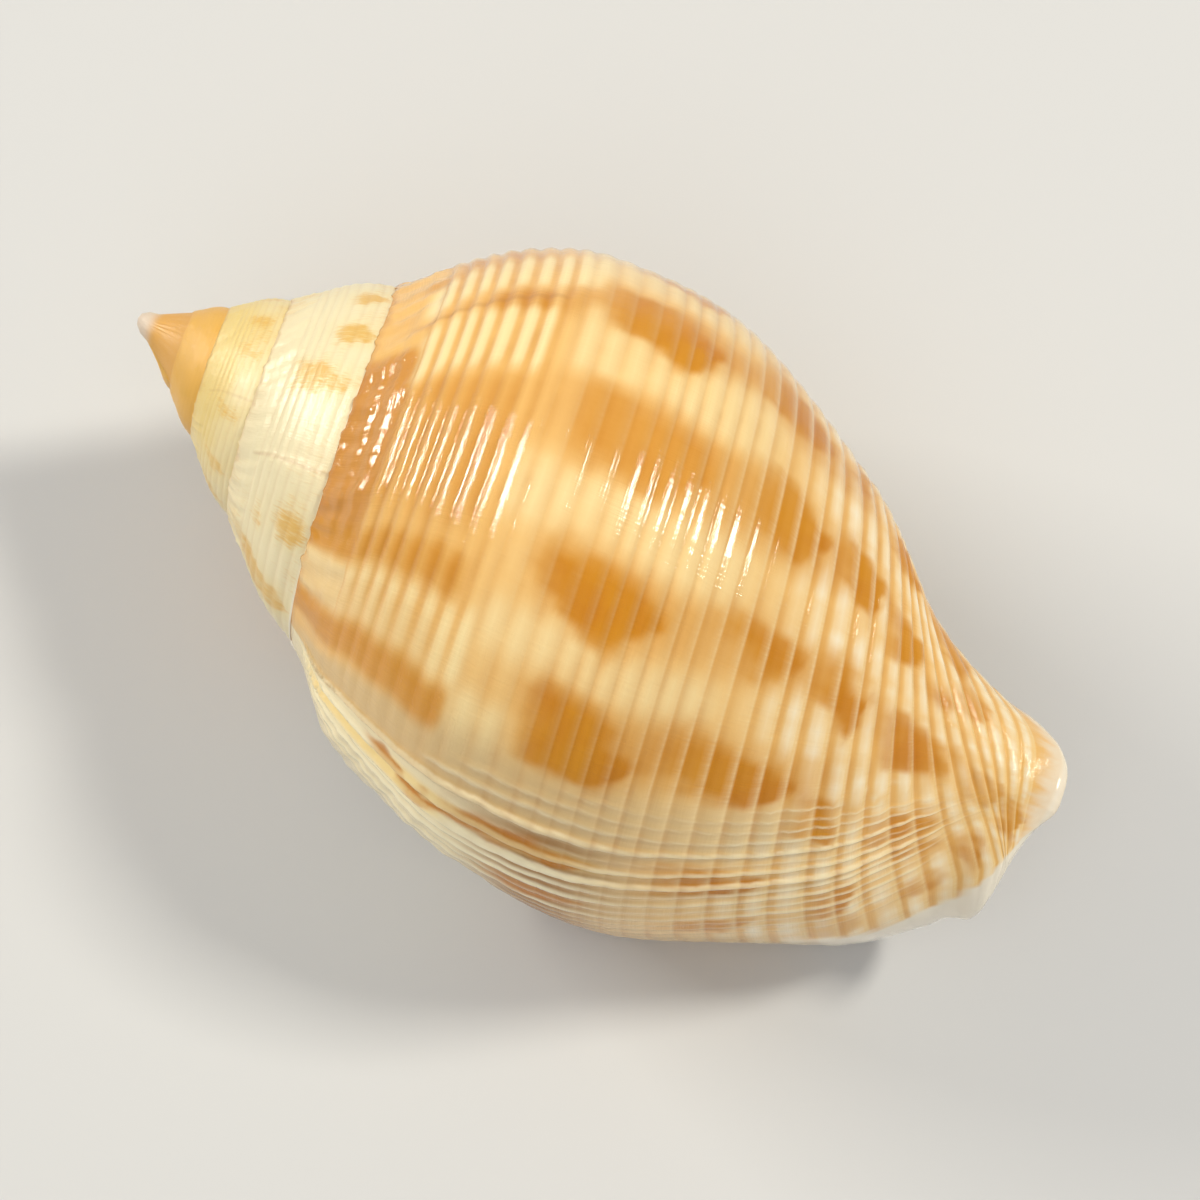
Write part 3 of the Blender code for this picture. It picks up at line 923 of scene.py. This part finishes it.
def paint(angle, share, place, inner):
    """How much of each colour there is over the shell."""
    past = ridge_past(angle, share)
    line = growth_line(angle, share)
    wave = cord_wave(place)
    body = rise(angle, *BODY)
    lip = rise(past, -1, 2.5) * fall(share, 0.66, 0.14) * body
    off_lip = 1 - lip
    upper = fall(share, *UPPER)
    lower = rise(share, *LOWER)
    middle = 1 - upper - lower
    light = streaks(PALE_STREAKS, angle, share)
    halo = flames(angle, share, place, HALO)
    even = EVEN * behind_lip(angle, share)
    on_cord = rise(wave, 0.05, 0.75)
    on_cord = on_cord + even * (0.6 - on_cord)
    clouds = 0.72 + 0.28 * drift(angle, share, 8)

    # Pale cords above, pale beads between the flames below, and pale columns.
    pale = upper * (0.15 + 0.8 * light) * (0.12 + 0.88 * on_cord)
    pale = pale + lower * (0.15 + 0.95 * on_cord) * (1 - halo) ** 1.3 * clouds
    pale = pale + middle * (0.3 + 0.6 * light) * (0.75 + 0.25 * wave) * (1 - 0.7 * halo)
    pale = np.where(share < GROOVES[0], 0.15 + 0.75 * light, pale)
    brown = streaks(BROWN_STREAKS, angle, share, BROWN_EDGE) * (1 - 0.9 * light)
    brown = brown * (1 - upper * 0.3 * wave) * (1 - 0.4 * lower * wave)
    brown = 1 - (1 - brown) * (1 - 0.75 * halo)
    ochre = streaks(OCHRE_STREAKS, angle, share) * (1 - 0.35 * wave * upper * (1 - even))

    # The lip: grey before its ridges, gold between them.
    grey = soft(past, -12, 0.5, 8) * soft(share, 0.02, 0.72, 0.1)
    gold = soft(past, 7.4, 9.2, 1.2) * soft(share, 0.06, 0.4, 0.06)
    gold = gold + 0.9 * soft(past, 3.5, 7.5, 2) * soft(share, 0.26, 0.56, 0.05)

    # The glaze: on the inner lip, along the rim, on the canal's end and inside.
    to_edge = angle - through(LIP, 1, share) + 4 * bump((share - 0.7) / 0.1)
    edge = rise(to_edge - 2.4 * drift(angle, share, 2), -25, 4) * rise(share, 0.68, 0.06)
    canal = CANAL_GLAZE * rise(share + 0.01 * drift(angle, share, 3), 0.962, 0.035)
    glaze = rise(shield(angle, share), 0, 0.2) + edge + canal + rise(inner, 0, 0.25)
    glaze = np.clip(glaze, 0, 1)

    # Brown furrows between the cords, partly the shell's own brown and partly painted shade in them, and
    # painted highlights as pale lines near the cords' edges.
    uneven = (0.75 + 0.5 * drift(angle, share, 9)) * (1 - even) * body
    furrow_and_shade = (1 - wave) ** 1.5 * rise(place, 0.08, 0.01)
    furrow_and_shade = furrow_and_shade * (FURROW_AND_SHADE[0] * upper + FURROW_AND_SHADE[1] * middle + FURROW_AND_SHADE[2] * lower)
    furrow_and_shade = furrow_and_shade + groove(place, GROOVE_HALF) * (0.1 + 0.22 * lower) * rise(share, 0.45, 0.1)
    furrow_and_shade = furrow_and_shade * uneven + 0.15 * groove(place, 0.25) * (1 - body)
    part = of_cord(place)[1]
    # Painted highlights: pale lines near the edges of each cord, standing in for glints.
    painted_glint_line = bump((part - 0.84) / 0.17) + 0.5 * bump((part - 0.38) / 0.15)
    painted_glint_line = painted_glint_line * (0.25 + 0.75 * rise(share, 0.5, 0.18)) * rise(share, 0.36, 0.04) * body
    return {
        "flames": flames(angle, share, place) * (1 - glaze),
        "ochre": ochre * off_lip,
        "pale": np.clip(pale, 0, 1),
        "brown": brown * body * off_lip,
        "rust": brown * fall(share, 0.1, 0.03) * body * off_lip,
        "grey": grey * body,
        "cream": 1 - body * off_lip,
        "gold": np.clip(gold, 0, 1) * body,
        "old": fall(angle, -650, 160) * (1 - 0.55 * rise(share, 0.08, 0.2)),
        "oldest": fall(angle, -980, 100),
        # Darker between the cords: partly their own brown, partly painted shade in the furrows.
        "furrow_and_shade": furrow_and_shade * (1 - glaze) * (1 - 0.8 * lip) * fall(share, 0.95, 0.08),
        # Painted highlights along the cords' edges.
        "painted_glint_line": painted_glint_line * (1 - glaze) * (1 - 0.6 * lip),
        # Pale crests of the ridges: partly their own cream, partly a painted highlight.
        "crest_and_highlight": np.clip(ridges(angle, share) / (0.16 - 0.08 * lower), 0, 1) * body,
        "white": lower * on_cord * (1 - halo) * clouds,
        # Painted shade along each suture, wider on the spire.
        "painted_suture_shade": fall(share, 0.016, 0.014) + 0.3 * fall(share, 0.06, 0.06) * (1 - body),
        "glow": flames(angle, share, place, GLOW) * (1 - body),
        "lip": lip,
        "wrinkled": lip * fall(share, 0.52, 0.12),
        "glaze": glaze,
        "inner": inner,
        "band": fall(share, 0.1, 0.02) * body * off_lip * soft(line, -190, -60, 20),
    }


def paint_shell(mesh):
    """Write the masks on the corners of the faces."""
    count = len(mesh.loops)
    growth, cords = np.empty(count * 2, np.float32), np.empty(count * 2, np.float32)
    mesh.uv_layers["growth"].uv.foreach_get("vector", growth)
    mesh.uv_layers["cords"].uv.foreach_get("vector", cords)
    angle, share = growth.astype(float).reshape(-1, 2).T
    place, inner = cords.astype(float).reshape(-1, 2).T
    for name, values in paint(angle, share, place, inner).items():
        layer = mesh.attributes.new(name, "FLOAT", "CORNER")
        layer.data.foreach_set("value", values.astype(np.float32))
    lines = np.stack([growth_line(angle, share) / TURN, share], axis=-1)
    mesh.uv_layers["growth"].uv.foreach_set("vector", lines.astype(np.float32).ravel())
    mesh.uv_layers.remove(mesh.uv_layers["cords"])


def add(name, data):
    """A new object in the scene."""
    thing = bpy.data.objects.new(name, data)
    bpy.context.scene.collection.objects.link(thing)
    return thing


def build_shell():
    bm = shell_mesh()
    lay_down(bm)
    mesh = bpy.data.meshes.new("bonnet_shell")
    bm.to_mesh(mesh)
    bm.free()
    for name in ("number", "spare"):
        mesh.attributes.remove(mesh.attributes[name])
    paint_shell(mesh)
    mesh.shade_smooth()
    return add("bonnet_shell", mesh)


# ---- materials ----
class Value:
    """A socket that arithmetic turns into Math nodes."""

    def __init__(self, shader, socket):
        self.shader = shader
        self.socket = socket

    def maths(self, operation, *others):
        node = self.shader.node("ShaderNodeMath", {"operation": operation},
                                dict(enumerate((self,) + others)))
        return Value(self.shader, node.outputs[0])

    def __add__(self, other):
        return self.maths("ADD", other)

    __radd__ = __add__

    def __mul__(self, other):
        return self.maths("MULTIPLY", other)

    def __sub__(self, other):
        return self.maths("SUBTRACT", other)

    def __rsub__(self, other):
        return (self * -1) + other

    def near(self, at, half):
        """1 at a value, falling to 0 at half away from it."""
        return (self - at).maths("ABSOLUTE").between(half, 0)

    def between(self, low, high):
        """0 at low and 1 at high, eased, and level beyond them."""
        node = self.shader.node("ShaderNodeMapRange", {"interpolation_type": "SMOOTHSTEP"},
                                {"Value": self, "From Min": low, "From Max": high})
        return Value(self.shader, node.outputs[0])


class Shader:
    """A material, its nodes and its one surface shader."""

    def __init__(self, name):
        self.material = bpy.data.materials.new(name)
        self.material.use_nodes = True
        self.tree = self.material.node_tree
        self.skin = self.tree.nodes["Principled BSDF"]

    def put(self, socket, value):
        if isinstance(value, Value):
            value = value.socket
        if isinstance(value, bpy.types.NodeSocket):
            self.tree.links.new(value, socket)
        else:
            socket.default_value = value

    def node(self, kind, settings=None, inputs=None):
        node = self.tree.nodes.new(kind)
        for name, setting in (settings or {}).items():
            setattr(node, name, setting)
        for name, value in (inputs or {}).items():
            self.put(node.inputs[name], value)
        return node

    def mask(self, name):
        node = self.node("ShaderNodeAttribute", {"attribute_name": name})
        return Value(self, node.outputs["Fac"])

    def mix(self, first, second, factor):
        node = self.node("ShaderNodeMix", {"data_type": "RGBA"},
                         {"Factor": factor, 6: first, 7: second})
        return node.outputs[2]

    def layers(self, ground, layers):
        """Colours laid on one after the other."""
        for paint, amount in layers:
            ground = self.mix(ground, paint, amount)
        return ground

    def stretched(self, vector, scale):
        node = self.node("ShaderNodeVectorMath", {"operation": "MULTIPLY"}, {0: vector, 1: scale})
        return node.outputs[0]

    def noise(self, vector, scale, detail=2, roughness=0.5):
        node = self.node("ShaderNodeTexNoise", {},
                         {"Vector": vector, "Scale": scale, "Detail": detail, "Roughness": roughness})
        return Value(self, node.outputs["Fac"])


def colour(red, green, blue):
    """A colour given as it looks, from 0 to 255, as the shader's numbers."""
    def linear(level):
        level = level / 255
        return level / 12.92 if level <= 0.04045 else ((level + 0.055) / 1.055) ** 2.4
    return (linear(red), linear(green), linear(blue), 1)


CREAM_GROUND = colour(254, 230, 172)
TAN_GROUND = colour(241, 190, 112)
PALE_CORD = colour(253, 238, 210)
BROWN = colour(222, 161, 78)
RUST = colour(214, 150, 74)
# A deep rust, in the folds of the band under the suture, and also the painted shade along the sutures.
DEEP_RUST_AND_SHADE = colour(192, 120, 52)
GREY = colour(220, 190, 138)
LIP_CREAM = colour(255, 242, 204)
# Tan between the lip's ridges, darkened partly as painted shade.
LIP_TAN_AND_SHADE = colour(174, 122, 60)
LIP_PALE = colour(250, 234, 192)
SPIRE_CREAM = colour(243, 229, 188)
SPIRE_YELLOW = colour(238, 211, 136)
SPIRE_ORANGE = colour(236, 182, 86)
TIP_GREY = colour(228, 208, 186)
# The colour of the painted shade along the growth steps.
SCAR_SHADE = colour(170, 106, 40)
FLAME = colour(212, 140, 14)
FLAME_DEEP = colour(200, 122, 8)
SPIRE_OCHRE = colour(228, 174, 66)
OCHRE = colour(214, 146, 48)
GOLD = colour(250, 216, 134)
# The brown of the furrows between the cords, which also stands in for painted shade in them.
GROOVE_BROWN_AND_SHADE = colour(190, 120, 46)
# The colour of the painted highlights along the cords.
PAINTED_GLINT = colour(255, 232, 176)
GLAZE = colour(247, 237, 217)
INNER_GLAZE = colour(240, 214, 180)


# Masks made ragged by the mottle: how much, and the levels each runs between.
RAGGED = {
    "ochre": (0.5, 0.1, 1),
    "pale": (0.5, 0, 1),
    "brown": (0.6, 0.05, 1),
    "rust": (0.6, 0.1, 0.9),
    "crest_and_highlight": (0.4, 0.05, 0.85),
}
# Scales of the fine lines and folds: in one turn, and across the whorl.
STRIAE = (560, 22, 1)
THREADS = (40, 420, 1)
FOLDS = (64, 13, 1)
BEADS = (0.03, 0.062)  # shares of the band's two rows of beads
BEAD_HALF = 0.014
TIP_AT = (0.0283, 0.0292)  # the pale point of the spire, along -X
SPECULAR = 0.45
BUMP_HEIGHT = 0.00006


def shell_material():
    shader = Shader("shell")
    growth = shader.node("ShaderNodeUVMap", {"uv_map": "growth"}).outputs[0]
    place = shader.node("ShaderNodeTexCoord").outputs["Object"]
    along = Value(shader, shader.node("ShaderNodeSeparateXYZ", {}, {0: place}).outputs[0])
    lines = shader.node("ShaderNodeSeparateXYZ", {}, {0: growth})
    line, share = Value(shader, lines.outputs[0]) * TURN, Value(shader, lines.outputs[1])
    cloud = shader.noise(place, 260, 3)
    speck = shader.noise(place, 1400)
    striae = shader.noise(shader.stretched(growth, STRIAE), 1, 3, 0.55)
    threads = shader.noise(shader.stretched(growth, THREADS), 1)
    folds = shader.noise(shader.stretched(growth, FOLDS), 1, 1)
    mottle = (cloud - 0.5) * 0.5 + (striae - 0.5) * 0.1

    ragged = {name: (shader.mask(name) + mottle * much).between(low, high)
              for name, (much, low, high) in RAGGED.items()}
    band, cream, lip, glaze = (shader.mask(name) for name in ("band", "cream", "lip", "glaze"))
    crest_and_highlight = ragged["crest_and_highlight"]
    on_spire = cream * (1 - lip)
    torn = mottle * 0.5 + on_spire * ((striae - 0.5) * 1.5 + (cloud - 0.5) * 1.3)
    flame = (shader.mask("flames") + torn).between(0.04, 0.95)

    spire = shader.layers(SPIRE_CREAM, (
        (SPIRE_YELLOW, (shader.mask("old") + (cloud - 0.5) * 1.2).between(0, 1)),
        (SPIRE_YELLOW, shader.mask("glow") * 0.8),
        (SPIRE_ORANGE, (shader.mask("oldest") + (cloud - 0.5) * 0.8).between(0, 1)),
    ))
    # The lip: tan between its ridges, partly painted shade there; pale where wrinkled; cream on the crests,
    # partly painted highlight.
    edge = shader.layers(LIP_TAN_AND_SHADE, ((LIP_PALE, shader.mask("wrinkled")), (LIP_CREAM, crest_and_highlight)))
    deep = shader.mix(FLAME, FLAME_DEEP, (cloud + lip * 0.4).between(0.35, 0.8))
    skin = shader.layers(TAN_GROUND, (
        (shader.mix(CREAM_GROUND, PALE_CORD, shader.mask("white")), ragged["pale"]),
        (BROWN, ragged["brown"]),
        (RUST, ragged["rust"]),
        (DEEP_RUST_AND_SHADE, band * folds.between(0.45, 0.75) * 0.15),
        (shader.mix(spire, edge, lip), cream),
        (GREY, shader.mask("grey") * 0.8),
        (GOLD, shader.mask("gold") * 0.7),
        (OCHRE, ragged["ochre"]),
        (shader.mix(deep, SPIRE_OCHRE, on_spire), flame * (1 - crest_and_highlight * 0.6) * (0.95 - on_spire * 0.2)),
        # Cream on the ridges' crests off the lip, partly painted highlight.
        (LIP_CREAM, crest_and_highlight * 0.6 * (1 - lip)),
        # Brown between the cords: partly their own colour, partly painted shade in the furrows.
        (GROOVE_BROWN_AND_SHADE, shader.mask("furrow_and_shade") * (0.3 + cloud * 0.7)),
        # Painted highlight: pale glint lines along the cords.
        (PAINTED_GLINT, shader.mask("painted_glint_line") * (0.25 + striae * 0.7)),
        # Painted shade along the sutures.
        (DEEP_RUST_AND_SHADE, shader.mask("painted_suture_shade") * (0.5 - on_spire * 0.25)),
    ))
    # Painted shade: a dark line along each growth step.
    wavy = line + (cloud - 0.5) * 2
    for at, half, low, high, strength in SCAR_SHADE_LINES:
        here = share.between(low, low + 0.03) * share.between(high, high - 0.03)
        skin = shader.mix(skin, SCAR_SHADE, wavy.near(at, half) * here * strength)
    skin = shader.mix(skin, TIP_GREY, (along * -1).between(*TIP_AT))
    skin = shader.mix(skin, shader.mix(GLAZE, INNER_GLAZE, shader.mask("inner")), glaze)
    shader.put(shader.skin.inputs["Base Color"], skin)
    shader.put(shader.skin.inputs["Specular IOR Level"], SPECULAR)
    shader.put(shader.skin.inputs["Roughness"], 0.05 + speck * 0.04 + lip * 0.12 + on_spire * 0.22)

    height = (striae - 0.5) * (1 - glaze * 0.8) * 0.35 + (threads - 0.5) * 0.3 * (1 - glaze)
    beads = share.near(BEADS[0], BEAD_HALF) + share.near(BEADS[1], BEAD_HALF)
    beaded = ((folds - 0.5) * 4 + beads * folds * 3) * band * (0.2 + ragged["rust"] * 0.8)
    dent = shader.node("ShaderNodeBump", {},
                       {"Strength": 1, "Distance": BUMP_HEIGHT, "Height": height + beaded})
    shader.put(shader.skin.inputs["Normal"], dent.outputs[0])
    return shader.material


# ---- studio ----
CAMERA_LOOK = (1.06, 0.06, 12.65)
CAMERA_DISTANCE = 231.5
CAMERA_AZIMUTH = -73.6
CAMERA_ELEVATION = 72.2
CAMERA_ROLL = 8.3
CAMERA_LENS = 120.4
# Lamps: azimuth, elevation, distance, length, width, power and roll.
LAMPS = {
    "key": (42, 54, 0.6, 0.13, 0.08, 2, 133),
    "side": (177, 29, 0.6, 0.24, 0.05, 1.8, 0),
    "glint": (177, 29, 0.59, 0.24, 0.05, 2.8, 0),
    "fill": (-80, 60, 1, 0.8, 0.8, 2.3, 0),
}
LAMPS_LOOK = (0, 0, 0.015)
WARM = (1, 0.96, 0.85)
WHITE = (1, 1, 1)
SKY_STRENGTH = 0.32
FLOOR_COLOUR = (0.66, 0.66, 0.66, 1)
FLOOR_ROUGHNESS = 0.9


def from_angles(azimuth, elevation):
    azimuth, elevation = math.radians(azimuth), math.radians(elevation)
    return Vector((math.cos(elevation) * math.cos(azimuth),
                   math.cos(elevation) * math.sin(azimuth), math.sin(elevation)))


def look_from(obj, target, direction, distance, roll=0):
    spin = direction.to_track_quat("Z", "Y").to_matrix().to_4x4()
    turn = Matrix.Rotation(math.radians(roll), 4, "Z")
    obj.matrix_world = Matrix.Translation(target + direction * distance) @ spin @ turn


def make_camera():
    data = bpy.data.cameras.new("camera")
    data.lens = CAMERA_LENS
    camera = add("camera", data)
    look_from(camera, Vector(CAMERA_LOOK) * MM, from_angles(CAMERA_AZIMUTH, CAMERA_ELEVATION),
              CAMERA_DISTANCE * MM, CAMERA_ROLL)
    bpy.context.scene.camera = camera


def make_lamp(name, tint):
    """A lamp with straight sides, looking at the shell."""
    azimuth, elevation, distance, length, width, power, roll = LAMPS[name]
    data = bpy.data.lights.new(name, "AREA")
    data.shape = "RECTANGLE"
    data.size = length
    data.size_y = width
    data.energy = power
    data.color = tint
    lamp = add(name, data)
    look_from(lamp, Vector(LAMPS_LOOK), from_angles(azimuth, elevation), distance, roll)
    return lamp


def make_floor():
    bm = bmesh.new()
    bmesh.ops.create_grid(bm, x_segments=1, y_segments=1, size=1)
    mesh = bpy.data.meshes.new("floor")
    bm.to_mesh(mesh)
    bm.free()
    material = bpy.data.materials.new("floor")
    material.use_nodes = True
    skin = material.node_tree.nodes["Principled BSDF"].inputs
    skin["Base Color"].default_value = FLOOR_COLOUR
    skin["Roughness"].default_value = FLOOR_ROUGHNESS
    mesh.materials.append(material)
    floor = add("floor", mesh)


def make_studio():
    make_floor()
    make_lamp("key", WARM)
    make_lamp("side", WARM)
    make_lamp("glint", WARM).visible_diffuse = False
    make_lamp("fill", WHITE).visible_glossy = False
    world = bpy.data.worlds.new("studio")
    world.use_nodes = True
    sky = world.node_tree.nodes["Background"].inputs
    sky["Color"].default_value = WHITE + (1,)
    sky["Strength"].default_value = SKY_STRENGTH
    bpy.context.scene.world = world
    bpy.context.scene.view_settings.view_transform = "Standard"


shell = build_shell()
shell.data.materials.append(shell_material())
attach(shell, "root")
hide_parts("shell")
make_studio()
make_camera()
